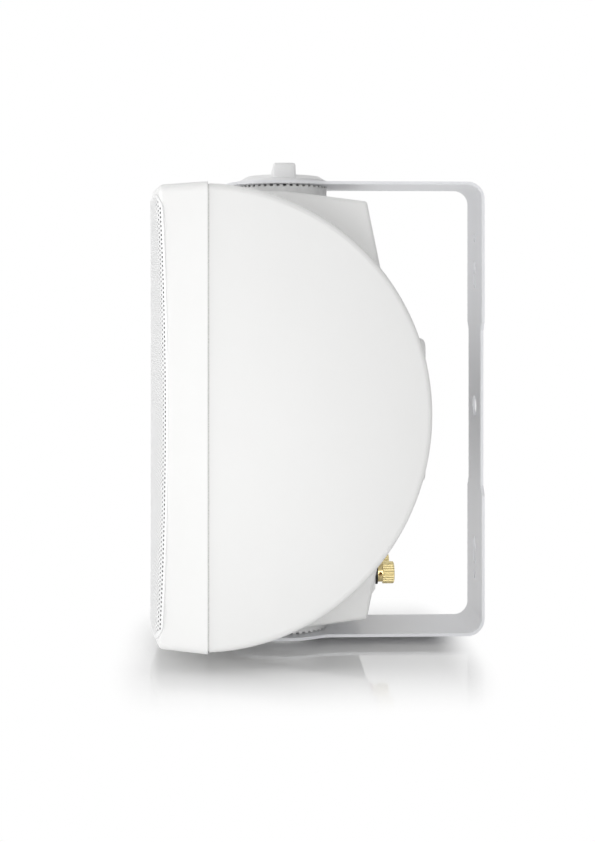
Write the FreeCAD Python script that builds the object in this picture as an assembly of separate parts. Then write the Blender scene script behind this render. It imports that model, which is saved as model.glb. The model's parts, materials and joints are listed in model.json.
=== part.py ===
import FreeCAD
import Part
import math
import os

# Two-way wall loudspeaker in a steel yoke bracket, in millimetres.
# The wall face of the bracket lies in y = 0 with its middle at the origin.
# The front looks along -y, +z is up and x is the width.

# Fits
RUN_PLAY = 0.05          # radial play of a screw thread that turns
TURN_GAP = 0.2           # gap between flat faces that turn on each other
SEAT_PLAY = 0.3          # play of a moulding set into another
SNUG = 0.02              # play of a piece pressed or glued into its seat

# Yoke bracket
STEEL_T = 1.6
ARM_W = 48.0
EYE_R = 32.1
NECK_R = 14.0            # hollow between arm and eye
BEND_R = 8.0             # inside of the two folds
WALL_ROOM = 34.3         # between the port's face and the wall
WAIST_LEN = 85.5
WAIST_DEPTH = 4.0
WAIST_SLOPE = 5.0        # length of the slope into the waist
WALL_HOLE_SPACING = 190.0
WALL_HOLE_R = 2.6
KEYHOLE_SPACING = 156.0
KEYHOLE_HEAD_R = 4.3
KEYHOLE_SLOT_W = 4.8
KEYHOLE_DROP = 9.0       # slot end below the round head
CABLE_HOLE_R = 6.0

# Cabinet, places along y counted from the pivot axis
CABINET_R = 119.0        # round back, seen from the side
ROUND_AHEAD = 43.6       # centre of the round back ahead of the pivot
SEAM_AHEAD = 40.5
CABINET_HALF_W = 82.0
REAR_HALF_W = 66.0
SIDE_BULGE = 4.0         # bow of the side walls, seen from above
PLAN_SPARE = 4.0         # length of the plan outline behind the round back
WALL = 3.0
CHEEK_R = 3.5
SPINE_HALF_W = 33.0
SPINE_SET_BACK = 31.0    # rear corners of the spine ahead of the round back's rearmost line
SPINE_SHORT = 5.8        # rear corners of the spine below the round back's radius
SPINE_CROWN_SHORT = 0.1  # spine's top over the pivot below the round back's radius
SPINE_LEAN = 0.206       # rearward run of the spine's back for each mm towards the middle
SPINE_CORE_Z = 50.0      # the spine ends inside the round back here
SPINE_EDGE_R = 2.0

# Pivot bosses
BOSS_R = 24.5
BOSS_PROUD = 4.0         # boss face above the round back's radius
TOOTH_COUNT = 42
TOOTH_DEPTH = 0.9
TOOTH_GAP = 1.8
TOOTH_RING = 7.0         # radial length of the teeth
HUB_R = 9.5
HUB_LEN = 29.0
HUB_ROOM = 1.0           # past the end of the clamp stud
RIB_T = 2.5
INSERT_R = 5.6
INSERT_LEN = 18.0

# Clamp knobs
STUD_R = 4.0
STUD_HOLE_PLAY = 0.5
STUD_LEN = 26.0          # below the knob's clamping face
STUD_ROOT = 7.0          # inside the knob
KNOB_R = 24.2
KNOB_DISC_T = 3.8
KNOB_BEVEL_W = 3.8
KNOB_BEVEL_H = 2.2
GRIP_W = 12.8
GRIP_H = 6.2
GRIP_EDGE_R = 1.4
GRIP_DRAFT = 0.4         # the grip is narrower at its top by this on each side
GRIP_INSET = 0.7         # grip ends inside the disc's rim
LOW_KNOB_R = 20.0        # flat lower clamp, hidden under the arm's eye
LOW_KNOB_T = 4.0
LOW_STUD_ROOT = 2.4
COIN_SLOT_W = 2.6
COIN_SLOT_LEN = 27.0
COIN_SLOT_DEPTH = 1.3

# Front frame and grille
GASKET_T = 0.8
GASKET_SET_BACK = 0.4
BEZEL_PROUD = 1.0
BEZEL_WALL = 4.6
FRONT_AHEAD = 73.8       # foremost line of the grille ahead of the pivot
FRONT_TAPER_W = 9.2      # front narrower than the cabinet, on each side
FRONT_TAPER_H = 0.6      # and lower, at each end
FRONT_EDGE_R = 3.2
RIM_SET_BACK = 0.7       # frame edge behind the grille's face
BOW_MID = 9.8            # bow of the grille at middle height
BOW_END = 6.7            # and at its top and bottom edges
GRILLE_INSET_W = 1.3     # grille inside the front frame, on each side
GRILLE_INSET_H = 4.4     # and at each end
GRILLE_CORNER_R = 7.0
SHEET_T = 1.0
MESH_COLUMNS = 10        # coarse openings of the sheet, the fine holes aren't drawn
MESH_ROWS = 16
MESH_BAR = 2.4
MESH_MARGIN = 7.0        # closed border round the openings
BAFFLE_DEPTH = 18.5      # baffle face behind the grille's foremost line
BAFFLE_T = 4.0
TONGUE_T = 2.2
TONGUE_LEN = 4.0         # reach into the rear shell
TONGUE_ROOT = 6.0

# Screws
SCREW_INSET_W = 20.0     # screw line inside the cabinet's side
SCREW_INSET_H = 15.0     # and inside its radius
SCREW_MID_Z = 30.0
PILLAR_R = 4.5
SCREW_R = 1.75
SCREW_LEN = 18.0
SCREW_HEAD_R = 3.6
SCREW_HEAD_H = 2.4
SCREW_HOLE_PLAY = 0.25
HEAD_EDGE = 0.5          # upright edge of a screw head, as a share of its height
CROSS_W = 0.28           # half width of the cross recess, as a share of the head's radius
CROSS_L = 0.62           # half length of the cross recess
CROSS_DEPTH = 0.45       # depth of the cross recess, as a share of the head's height

# Port
PORT_BOSS_HALF = 39.0    # half side of the square boss
PORT_BOSS_CORNER_R = 7.0
PORT_BOSS_EDGE_R = 2.6
PORT_PROUD = 0.3         # face of the port boss behind the round back
PORT_R = 21.0
PORT_MOUTH_R = 30.0
PORT_FLARE = 13.0        # length of the flare
PORT_WALL = 2.0
PORT_LIP_R = 33.5
PORT_LIP_T = 1.6
PORT_INNER = 30.0        # inner end of the tube behind the pivot

# Binding posts
POST_SPACING = 27.0
POST_RAISE = 27.6        # posts above the round back's radius
SEAT_PROUD = 0.8         # upright face of the terminal seat behind the spine
SEAT_T = 8.0
SEAT_HALF_W = 25.0
SEAT_HALF_H = 11.0
SEAT_EDGE = 0.4          # seat past the washers, before it slopes into the spine
POST_R = 3.0
POST_HOLE_PLAY = 0.15
POST_WASHER_R = 6.4
POST_WASHER_T = 2.1
POST_COLLAR_R = 5.15
POST_COLLAR_T = 2.7
WIRE_HOLE_R = 1.1
BANANA_R = 2.0
BANANA_DEPTH = 15.0
THUMB_R = 6.05
THUMB_LEN = 6.3
THUMB_FLUTES = 26
THUMB_FLUTE_DEPTH = 0.35
THUMB_EDGE = 0.5         # bevel at the nut's outer end
THUMB_GAP = 0.15
POST_TAIL = 4.0          # stud length past the inner nut
TAG_T = 0.8
TAG_R = 5.6
TAG_TAIL_W = 5.0
TAG_TAIL_LEN = 16.0
HEX_AF = 10.0
HEX_T = 4.6

# Woofer, depths counted rearwards from the baffle face
WOOFER_RAISE = 81.0      # woofer axis above the cabinet's lower end
WOOFER_R = 66.0
WOOFER_HOLE_R = 58.5
WOOFER_GASKET_T = 1.0
FLANGE_T = 3.0
LANDING_R = 60.0         # outer edge of the surround's landing
LANDING_INNER_R = 55.0
LANDING_DROP = 2.0       # landing behind the flange face
BASKET_WALL = 2.0
SPIDER_DEPTH = 22.0
SPIDER_LEDGE_R = 44.0
THROAT_R = 38.0
BASKET_DEPTH = 34.0
BASKET_FLOOR_T = 2.5
WINDOW_COUNT = 5
WINDOW_W = 38.0
WINDOW_TOP = 4.0
WINDOW_LEN = 14.0
PLATE_R = 42.0
PLATE_T = 5.0
MAGNET_R = 45.0
MAGNET_BORE_R = 22.0
MAGNET_T = 15.0
POLE_R = 12.4
COIL_R = 13.15           # outside of the former
FORMER_T = 0.3
WINDING_T = 0.65
WINDING_LEN = 9.0
GAP_PLAY = 0.4           # winding to top plate
FORMER_TAIL = 4.5        # former past the top plate
CONE_R = 47.5
CONE_T = 0.8
CONE_LIP = 3.4
NECK_DEPTH = 17.5
NECK_LEN = 2.0
SURROUND_T = 0.8
SURROUND_LIP = 3.6
CAP_R = 19.5
CAP_RISE = 6.5
CAP_T = 0.7
SPIDER_T = 0.6
SPIDER_WAVES = 3
SPIDER_WAVE_H = 1.6
SPIDER_LIP = 4.0
WOOFER_SCREW_PCD_R = 62.6
WOOFER_SCREW_COUNT = 6
WOOFER_SCREW_ANGLE = 30.0
DRIVER_SCREW_R = 1.5
DRIVER_SCREW_HEAD_R = 2.6
DRIVER_SCREW_HEAD_H = 1.8
DRIVER_SCREW_LEN = 10.0

# Tweeter
TWEETER_DROP = 48.0      # tweeter axis below the cabinet's upper end
TWEETER_R = 37.0
TWEETER_HOLE_R = 25.5
TWEETER_PLATE_T = 3.4
TWEETER_EDGE = 1.0       # bevel round the faceplate
TWEETER_LAP = 1.0        # faceplate over the surround
HORN_R = 24.0
DOME_R = 12.6
DOME_RISE = 5.2
DOME_T = 0.5
TWEETER_SURROUND_R = 15.4
TWEETER_SURROUND_T = 0.5
TWEETER_COIL_LEN = 6.5
TWEETER_COIL_T = 0.9
TWEETER_GAP = 0.4
TWEETER_TOP_R = 22.0
TWEETER_TOP_T = 3.0
TWEETER_MAGNET_R = 24.0
TWEETER_MAGNET_BORE_R = 15.5
TWEETER_MAGNET_T = 8.0
TWEETER_BACK_T = 3.5
TWEETER_SCREW_PCD_R = 31.5
TWEETER_SCREW_COUNT = 4
TWEETER_SCREW_ANGLE = 45.0

# Crossover
BOARD_HALF_W = 40.0
BOARD_LOW_Z = 36.0
BOARD_HIGH_Z = 80.0
BOARD_T = 1.6
BOARD_BACK = 28.0        # back of the board behind the pivot
BOARD_EDGE = 5.0         # screw centre to board edge
BOARD_PILLAR_R = 3.6
COIL_OUTER_R = 15.0
COIL_INNER_R = 6.5
COIL_H = 14.0
CAPACITOR_R = 7.5
CAPACITOR_LEN = 30.0
RESISTOR_W = 24.0
RESISTOR_SIDE = 9.0

V = FreeCAD.Vector
ALONG_X = V(1, 0, 0)
ALONG_Y = V(0, 1, 0)
ALONG_Z = V(0, 0, 1)
REACH = 400.0            # longer than the whole object, for cutters
TINY = 0.01              # for finding edges

# Places that follow from the sizes
ROUND_REAR = CABINET_R - ROUND_AHEAD
PORT_FACE = ROUND_REAR + PORT_PROUD
SPINE_REAR = ROUND_REAR - SPINE_SET_BACK
SPINE_REAR_Z = CABINET_R - SPINE_SHORT
SPINE_CROWN_Z = CABINET_R - SPINE_CROWN_SHORT
BOSS_Z = CABINET_R + BOSS_PROUD
FRONT_HALF_W = CABINET_HALF_W - FRONT_TAPER_W
FRONT_HALF_H = CABINET_R - FRONT_TAPER_H
GRILLE_HALF_W = FRONT_HALF_W - GRILLE_INSET_W
GRILLE_HALF_H = FRONT_HALF_H - GRILLE_INSET_H
SCREW_X = CABINET_HALF_W - SCREW_INSET_W
SCREW_Z = CABINET_R - SCREW_INSET_H
POST_Z = POST_RAISE - CABINET_R
SEAT_FACE = SPINE_REAR + (SPINE_REAR_Z + POST_Z) * SPINE_LEAN + SEAT_PROUD
WOOFER_Z = WOOFER_RAISE - CABINET_R
TWEETER_Z = CABINET_R - TWEETER_DROP
PIVOT_Y = -PORT_FACE - WALL_ROOM
ROUND_Y = PIVOT_Y - ROUND_AHEAD
SEAM_Y = PIVOT_Y - SEAM_AHEAD
SHELL_FRONT_Y = SEAM_Y + GASKET_T / 2
BEZEL_REAR_Y = SEAM_Y - GASKET_T / 2
FRONT_Y = PIVOT_Y - FRONT_AHEAD
BAFFLE_Y = FRONT_Y + BAFFLE_DEPTH
BAFFLE_BACK_Y = BAFFLE_Y + BAFFLE_T
ARM_Z = BOSS_Z + TURN_GAP
ARM_TOP_Z = ARM_Z + STEEL_T
KNOB_Z = ARM_TOP_Z + TURN_GAP
PORT_FACE_Y = PIVOT_Y + PORT_FACE
SEAT_FACE_Y = PIVOT_Y + SEAT_FACE
BOARD_BACK_Y = PIVOT_Y + BOARD_BACK
BOARD_FRONT_Y = BOARD_BACK_Y - BOARD_T


def seam_half_height(inset=0.0):
    """Half height of the round back at the shell's front rim."""
    return math.sqrt((CABINET_R - inset) ** 2 - (SHELL_FRONT_Y - ROUND_Y) ** 2)


# Drawing helpers

PLANES = {
    "xy": lambda u, v: V(u, v, 0),
    "yz": lambda u, v: V(0, u, v),
    "xz": lambda u, v: V(u, 0, v),
}


def section(plane, start, *steps):
    """Closed flat face: a step is a point, or (middle, end) of an arc."""
    place = PLANES[plane]
    here = start
    edges = []
    for step in list(steps) + [start]:
        is_arc = isinstance(step[0], tuple)
        end = step[1] if is_arc else step
        if is_arc:
            edges.append(Part.Arc(place(*here), place(*step[0]), place(*end)).toShape())
        elif math.dist(here, end) > TINY:
            edges.append(Part.LineSegment(place(*here), place(*end)).toShape())
        here = end
    return Part.Face(Part.Wire(edges))


def slab(face, direction, low, high):
    """Extrude a face from low to high along a direction."""
    moved = face.copy()
    moved.translate(direction * low)
    return moved.extrude(direction * (high - low))


def disc_y(radius, low, high, x=0.0, z=0.0):
    return Part.makeCylinder(radius, high - low, V(x, low, z), ALONG_Y)


def disc_z(radius, low, high, x=0.0, y=0.0):
    return Part.makeCylinder(radius, high - low, V(x, y, low), ALONG_Z)


def ring_y(outer, inner, low, high, x=0.0, z=0.0):
    return disc_y(outer, low, high, x, z).cut(disc_y(inner, low, high, x, z))


def block(low, high):
    """Box between two corners."""
    return Part.makeBox(high[0] - low[0], high[1] - low[1], high[2] - low[2], V(*low))


def turned_y(x, z, start, *steps):
    """Solid turned about the line through (x, z) along y, from a (radius, y) section."""
    shape = section("xy", start, *steps).revolve(V(0, 0, 0), ALONG_Y, 360)
    shape.translate(V(x, 0, z))
    return shape


def turned_pivot(start, *steps):
    """Solid turned about the pivot axis, from a (radius, z) section."""
    shape = section("xz", start, *steps).revolve(V(0, 0, 0), ALONG_Z, 360)
    shape.translate(V(0, PIVOT_Y, 0))
    return shape


def arc_middle(run, rise):
    """Point half way along an arc that starts level and climbs by rise over run."""
    radius = (run ** 2 + rise ** 2) / (2 * rise)
    turn = math.asin(run / radius) / 2
    return radius * math.sin(turn), radius * (1 - math.cos(turn))


def rounded_rectangle(half_w, half_h, radius, y):
    """Closed wire in an xz plane."""
    diagonal = radius * (1 - math.sqrt(0.5))
    edges = []
    corners = ((1, 1), (-1, 1), (-1, -1), (1, -1))
    last = None
    first = None
    for index, (sx, sz) in enumerate(corners):
        on_side = V(sx * half_w, y, sz * (half_h - radius))
        on_end = V(sx * (half_w - radius), y, sz * half_h)
        middle = V(sx * (half_w - diagonal), y, sz * (half_h - diagonal))
        enter, leave = (on_side, on_end) if index % 2 == 0 else (on_end, on_side)
        if last is not None:
            edges.append(Part.LineSegment(last, enter).toShape())
        else:
            first = enter
        edges.append(Part.Arc(enter, middle, leave).toShape())
        last = leave
    edges.append(Part.LineSegment(last, first).toShape())
    return Part.Wire(edges)


def frame_prism(half_w, half_h, radius, low, high):
    face = Part.Face(rounded_rectangle(half_w, half_h, radius, low))
    return face.extrude(ALONG_Y * (high - low))


def around(shape, count, centre, axis):
    """Compound of count copies, evenly turned about an axis."""
    copies = []
    for index in range(count):
        copy = shape.copy()
        copy.rotate(centre, axis, 360.0 * index / count)
        copies.append(copy)
    return Part.makeCompound(copies)


def upside_down(shape):
    return shape.mirror(V(0, 0, 0), ALONG_Z)


def on_circle(radius, count, z, start_deg):
    """Places (x, z) on a circle about a driver's axis."""
    turns = [math.radians(start_deg + 360.0 * index / count) for index in range(count)]
    return [(radius * math.cos(turn), z + radius * math.sin(turn)) for turn in turns]


# Yoke bracket

def keyhole(z):
    head = disc_y(KEYHOLE_HEAD_R, -REACH, REACH, 0, z)
    slot_end = disc_y(KEYHOLE_SLOT_W / 2, -REACH, REACH, 0, z - KEYHOLE_DROP)
    slot = block((-KEYHOLE_SLOT_W / 2, -REACH, z - KEYHOLE_DROP), (KEYHOLE_SLOT_W / 2, REACH, z))
    return head.fuse([slot_end, slot])


def waist_cut():
    inner = ARM_W / 2 - WAIST_DEPTH
    outer = ARM_W / 2 + STEEL_T
    long_half = WAIST_LEN / 2 + WAIST_SLOPE * (WAIST_DEPTH + STEEL_T) / WAIST_DEPTH
    face = section("xz", (inner, -WAIST_LEN / 2), (outer, -long_half), (outer, long_half),
                   (inner, WAIST_LEN / 2))
    return slab(face, ALONG_Y, -BEND_R, BEND_R)


def bracket():
    outer_r = BEND_R + STEEL_T
    tip_y = PIVOT_Y - EYE_R - STEEL_T
    bend_z = ARM_TOP_Z - outer_r
    k = math.sqrt(0.5)
    outer_mid = (-outer_r + outer_r * k, bend_z + outer_r * k)
    inner_mid = (-outer_r + BEND_R * k, bend_z + BEND_R * k)
    strip = section(
        "yz", (tip_y, ARM_TOP_Z), (-outer_r, ARM_TOP_Z), (outer_mid, (0, bend_z)), (0, -bend_z),
        ((outer_mid[0], -outer_mid[1]), (-outer_r, -ARM_TOP_Z)), (tip_y, -ARM_TOP_Z),
        (tip_y, -ARM_Z), (-outer_r, -ARM_Z),
        ((inner_mid[0], -inner_mid[1]), (-STEEL_T, -bend_z)), (-STEEL_T, bend_z),
        (inner_mid, (-outer_r, ARM_Z)), (tip_y, ARM_Z))
    folded = slab(strip, ALONG_X, -EYE_R - STEEL_T, EYE_R + STEEL_T)
    half = ARM_W / 2
    outline = disc_z(EYE_R, -REACH, REACH, 0, PIVOT_Y)
    outline = outline.fuse(block((-half, PIVOT_Y, -REACH), (half, STEEL_T, REACH)))
    neck_y = PIVOT_Y + math.sqrt(EYE_R ** 2 - half ** 2)
    necks = [edge for edge in outline.Edges
             if abs(edge.CenterOfMass.y - neck_y) < TINY and edge.BoundBox.ZLength > REACH]
    shape = folded.common(outline.makeFillet(NECK_R, necks))
    side = waist_cut()
    holes = [side, side.mirror(V(0, 0, 0), ALONG_X)]
    holes += [disc_y(WALL_HOLE_R, -BEND_R, BEND_R, 0, s * WALL_HOLE_SPACING / 2) for s in (-1, 1)]
    holes += [keyhole(s * KEYHOLE_SPACING / 2).common(block((-half, -BEND_R, -REACH), (half, BEND_R, REACH)))
              for s in (-1, 1)]
    holes.append(disc_y(CABLE_HOLE_R, -BEND_R, BEND_R))
    holes.append(disc_z(STUD_R + STUD_HOLE_PLAY, -REACH, REACH, 0, PIVOT_Y))
    return shape.cut(holes)


# Rear cabinet

def round_back(inset):
    """Round back between bowed side walls, from the seam rearwards."""
    barrel = Part.makeCylinder(CABINET_R - inset, 2 * REACH, V(-REACH, ROUND_Y, 0), ALONG_X)
    rear_y = ROUND_Y + CABINET_R + PLAN_SPARE
    wide = CABINET_HALF_W - inset
    narrow = REAR_HALF_W - inset
    mid = ((wide + narrow) / 2 + SIDE_BULGE, (SHELL_FRONT_Y + rear_y) / 2)
    plan = section("xy", (-wide, SHELL_FRONT_Y), (wide, SHELL_FRONT_Y), (mid, (narrow, rear_y)),
                   (-narrow, rear_y), ((-mid[0], mid[1]), (-wide, SHELL_FRONT_Y)))
    return barrel.common(slab(plan, ALONG_Z, -REACH, REACH))


def rounded_cheeks(shape):
    edges = [edge for edge in shape.Edges
             if abs(edge.CenterOfMass.x) > REAR_HALF_W / 2 and edge.BoundBox.YLength > WALL]
    return shape.makeFillet(CHEEK_R, edges)


def spine_face():
    core_y = PIVOT_Y + SPINE_REAR + (SPINE_REAR_Z - SPINE_CORE_Z) * SPINE_LEAN
    rear_y = PIVOT_Y + SPINE_REAR
    top = seam_half_height()
    return section("yz", (SHELL_FRONT_Y, top), (PIVOT_Y, SPINE_CROWN_Z), (rear_y, SPINE_REAR_Z),
                   (core_y, SPINE_CORE_Z), (core_y, -SPINE_CORE_Z), (rear_y, -SPINE_REAR_Z),
                   (PIVOT_Y, -SPINE_CROWN_Z), (SHELL_FRONT_Y, -top))


def spine():
    shape = slab(spine_face(), ALONG_X, -SPINE_HALF_W, SPINE_HALF_W)
    edges = [edge for edge in shape.Edges if edge.CenterOfMass.y > SHELL_FRONT_Y + WALL and
             abs(edge.CenterOfMass.y - PIVOT_Y) > TINY]
    return shape.makeFillet(SPINE_EDGE_R, edges)


def spine_hollow():
    face = spine_face().makeOffset2D(-WALL, 2)
    return slab(face, ALONG_X, WALL - SPINE_HALF_W, SPINE_HALF_W - WALL)


def boss_core():
    """Hollow under the boss, with the hub and four ribs left standing."""
    low = BOSS_Z - HUB_LEN
    high = BOSS_Z - TOOTH_DEPTH - WALL
    hollow = disc_z(BOSS_R - WALL, low, high, 0, PIVOT_Y).cut(disc_z(HUB_R, low, high, 0, PIVOT_Y))
    ribs = [block((-BOSS_R, PIVOT_Y - RIB_T / 2, low), (BOSS_R, PIVOT_Y + RIB_T / 2, high)),
            block((-RIB_T / 2, PIVOT_Y - BOSS_R, low), (RIB_T / 2, PIVOT_Y + BOSS_R, high))]
    return hollow.cut(ribs)


def boss_hub():
    """Hub for the threaded insert, with the ribs that carry it in the hollow spine."""
    low = BOSS_Z - HUB_LEN
    high = BOSS_Z - TOOTH_DEPTH - WALL / 2
    ribs = [block((-BOSS_R + WALL, PIVOT_Y - RIB_T / 2, low + WALL),
                  (BOSS_R - WALL, PIVOT_Y + RIB_T / 2, high)),
            block((-RIB_T / 2, PIVOT_Y - BOSS_R + WALL, low + WALL),
                  (RIB_T / 2, PIVOT_Y + BOSS_R - WALL, high))]
    return disc_z(HUB_R, low, high, 0, PIVOT_Y).fuse(ribs)


def tooth_gaps():
    gap = block((BOSS_R - TOOTH_RING, PIVOT_Y - TOOTH_GAP / 2, BOSS_Z - TOOTH_DEPTH),
                (BOSS_R + WALL, PIVOT_Y + TOOTH_GAP / 2, BOSS_Z + WALL))
    return around(gap, TOOTH_COUNT, V(0, PIVOT_Y, 0), ALONG_Z)


def screw_places():
    return [(s * SCREW_X, z) for s in (-1, 1) for z in (-SCREW_Z, SCREW_MID_Z, SCREW_Z)]


def board_places():
    return [(s * (BOARD_HALF_W - BOARD_EDGE), z) for s in (-1, 1)
            for z in (BOARD_LOW_Z + BOARD_EDGE, BOARD_HIGH_Z - BOARD_EDGE)]


def post_places():
    return {"left": -POST_SPACING / 2, "right": POST_SPACING / 2}


def pillars(outer):
    """Screw pillars and board pillars, standing on the inside of the back."""
    rear_y = ROUND_Y + CABINET_R
    ahead = frame_prism(CABINET_HALF_W - BEZEL_WALL - TONGUE_T, seam_half_height(BEZEL_WALL + TONGUE_T),
                        CHEEK_R, BAFFLE_BACK_Y, SHELL_FRONT_Y)
    room = outer.fuse(ahead)
    posts = [disc_y(PILLAR_R, BAFFLE_BACK_Y, rear_y, x, z) for x, z in screw_places()]
    posts += [disc_y(BOARD_PILLAR_R, BOARD_BACK_Y, rear_y, x, z) for x, z in board_places()]
    return [post.common(room) for post in posts]


def port_boss():
    """Square boss with rounded edges, standing out of the round back."""
    root_y = ROUND_Y + CABINET_R / 2
    shape = frame_prism(PORT_BOSS_HALF, PORT_BOSS_HALF, PORT_BOSS_CORNER_R, root_y, PORT_FACE_Y)
    edges = [edge for edge in shape.Edges if edge.BoundBox.YMin > PORT_FACE_Y - TINY]
    return shape.makeFillet(PORT_BOSS_EDGE_R, edges)


def terminal_seat():
    """Upright seat of the posts, whose lower end slopes into the spine's back."""
    high_z = POST_Z + SEAT_HALF_H
    low_z = POST_Z - SEAT_HALF_H
    inner_y = SEAT_FACE_Y - SEAT_T
    spine_y = PIVOT_Y + SPINE_REAR + (SPINE_REAR_Z + low_z) * SPINE_LEAN
    face = section("yz", (inner_y, low_z), (spine_y, low_z), (SEAT_FACE_Y, POST_Z - POST_WASHER_R - SEAT_EDGE),
                   (SEAT_FACE_Y, high_z), (inner_y, high_z))
    return slab(face, ALONG_X, -SEAT_HALF_W, SEAT_HALF_W)


def terminal_pocket():
    low = (-SEAT_HALF_W, SEAT_FACE_Y, POST_Z - SEAT_HALF_H)
    high = (SEAT_HALF_W, SEAT_FACE_Y + WALL, POST_Z + SEAT_HALF_H)
    return block(low, high)


def rear_cabinet():
    back = rounded_cheeks(round_back(0))
    boss = disc_z(BOSS_R, SPINE_REAR_Z - WALL, BOSS_Z, 0, PIVOT_Y)
    outer = back.fuse([spine(), boss, upside_down(boss), port_boss()])
    outer = outer.cut(terminal_pocket())
    shell = outer.cut([round_back(WALL), spine_hollow()])
    shell = shell.cut([boss_core(), upside_down(boss_core())])
    added = [boss_hub(), upside_down(boss_hub()), terminal_seat()] + pillars(back)
    shell = shell.fuse(added)
    insert_low = BOSS_Z - INSERT_LEN
    insert_hole = disc_z(INSERT_R + SNUG, insert_low, BOSS_Z + WALL, 0, PIVOT_Y)
    stud_hole = disc_z(STUD_R + STUD_HOLE_PLAY, KNOB_Z - STUD_LEN - HUB_ROOM, BOSS_Z + WALL, 0, PIVOT_Y)
    holes = [insert_hole, upside_down(insert_hole), tooth_gaps(), upside_down(tooth_gaps()),
             stud_hole, upside_down(stud_hole)]
    holes.append(disc_y(PORT_MOUTH_R + PORT_WALL + SNUG, ROUND_Y, PORT_FACE_Y + WALL))
    holes.append(disc_y(PORT_LIP_R + SNUG, PORT_FACE_Y - PORT_LIP_T, PORT_FACE_Y + WALL))
    holes += [disc_y(SCREW_R, BAFFLE_BACK_Y - WALL, BAFFLE_Y + SCREW_LEN, x, z) for x, z in screw_places()]
    holes += [disc_y(DRIVER_SCREW_R, BOARD_BACK_Y - WALL, BOARD_FRONT_Y + DRIVER_SCREW_LEN, x, z)
              for x, z in board_places()]
    holes += [disc_y(POST_R + POST_HOLE_PLAY, PIVOT_Y, SEAT_FACE_Y + WALL, x, POST_Z)
              for x in post_places().values()]
    return shell.cut(holes)


# Front frame, gasket and grille

def bow_at(z):
    return BOW_MID - (BOW_MID - BOW_END) * (z / GRILLE_HALF_H) ** 2


def bowed_solid(crown_y, end_y, span, reach_z):
    """Solid between the bowed front surface, set at crown_y, and the plane end_y."""
    wires = []
    for z in (-reach_z, 0.0, reach_z):
        edge_y = crown_y + bow_at(z) * (span / GRILLE_HALF_W) ** 2
        face = section("xy", (-span, edge_y), ((0, crown_y), (span, edge_y)), (span, end_y), (-span, end_y))
        face.translate(ALONG_Z * z)
        wires.append(face.OuterWire)
    return Part.makeLoft(wires, True, False)


def bezel_half(y):
    """Half width and half height of the front frame's outside at a place along y."""
    share = (BEZEL_REAR_Y - y) / (BEZEL_REAR_Y - FRONT_Y)
    rear_w = CABINET_HALF_W + BEZEL_PROUD
    rear_h = seam_half_height() + BEZEL_PROUD
    return rear_w + (FRONT_HALF_W - rear_w) * share, rear_h + (FRONT_HALF_H - rear_h) * share


def bezel_loft(inset, front_y, rear_y):
    wires = []
    for y in (rear_y, front_y):
        half_w, half_h = bezel_half(y)
        wires.append(rounded_rectangle(half_w - inset, half_h - inset, CHEEK_R + BEZEL_PROUD, y))
    return Part.makeLoft(wires, True, True)


def tongue():
    end_y = SHELL_FRONT_Y + TONGUE_LEN
    half_w = CABINET_HALF_W - WALL - SEAT_PLAY
    half_h = math.sqrt((CABINET_R - WALL) ** 2 - (end_y - ROUND_Y) ** 2) - SEAT_PLAY
    start_y = BEZEL_REAR_Y - TONGUE_ROOT
    outer = frame_prism(half_w, half_h, CHEEK_R, start_y, end_y)
    return outer.cut(frame_prism(half_w - TONGUE_T, half_h - TONGUE_T, CHEEK_R, start_y, end_y))


def front_baffle():
    outer = bezel_loft(0, FRONT_Y, BEZEL_REAR_Y)
    ahead = bowed_solid(FRONT_Y + RIM_SET_BACK, FRONT_Y - BOW_MID, CABINET_HALF_W + BEZEL_WALL,
                        CABINET_R + BEZEL_WALL)
    shape = outer.cut(ahead)
    rim = [edge for edge in shape.Edges if edge.BoundBox.YMax < BAFFLE_Y]
    shape = shape.makeFillet(FRONT_EDGE_R, rim)
    recess = frame_prism(GRILLE_HALF_W + SEAT_PLAY, GRILLE_HALF_H + SEAT_PLAY,
                         GRILLE_CORNER_R + SEAT_PLAY, FRONT_Y - BOW_MID, BAFFLE_Y)
    hollow = bezel_loft(BEZEL_WALL, BAFFLE_BACK_Y, BEZEL_REAR_Y)
    shape = shape.cut([recess, hollow]).fuse(tongue())
    holes = [disc_y(WOOFER_HOLE_R, -REACH, REACH, 0, WOOFER_Z),
             disc_y(TWEETER_HOLE_R, -REACH, REACH, 0, TWEETER_Z)]
    holes += [disc_y(SCREW_R + SCREW_HOLE_PLAY, -REACH, REACH, x, z) for x, z in screw_places()]
    holes += [disc_y(DRIVER_SCREW_R, -REACH, REACH, x, z) for x, z in woofer_screw_places()]
    holes += [disc_y(DRIVER_SCREW_R, -REACH, REACH, x, z) for x, z in tweeter_screw_places()]
    return shape.cut(holes)


def seam_gasket():
    inner_w = CABINET_HALF_W - WALL
    inner_h = seam_half_height(WALL)
    outer = frame_prism(CABINET_HALF_W - GASKET_SET_BACK, seam_half_height() - GASKET_SET_BACK,
                        CHEEK_R, BEZEL_REAR_Y, SHELL_FRONT_Y)
    return outer.cut(frame_prism(inner_w, inner_h, CHEEK_R, BEZEL_REAR_Y, SHELL_FRONT_Y))


def mesh_openings():
    """Even grid of openings through the grille's sheet."""
    pitch_x = (2 * (GRILLE_HALF_W - MESH_MARGIN) + MESH_BAR) / MESH_COLUMNS
    pitch_z = (2 * (GRILLE_HALF_H - MESH_MARGIN) + MESH_BAR) / MESH_ROWS
    openings = []
    for column in range(MESH_COLUMNS):
        x = MESH_MARGIN - GRILLE_HALF_W + column * pitch_x
        for row in range(MESH_ROWS):
            z = MESH_MARGIN - GRILLE_HALF_H + row * pitch_z
            openings.append(block((x, FRONT_Y - BOW_MID, z),
                                  (x + pitch_x - MESH_BAR, BAFFLE_Y, z + pitch_z - MESH_BAR)))
    return openings


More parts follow.
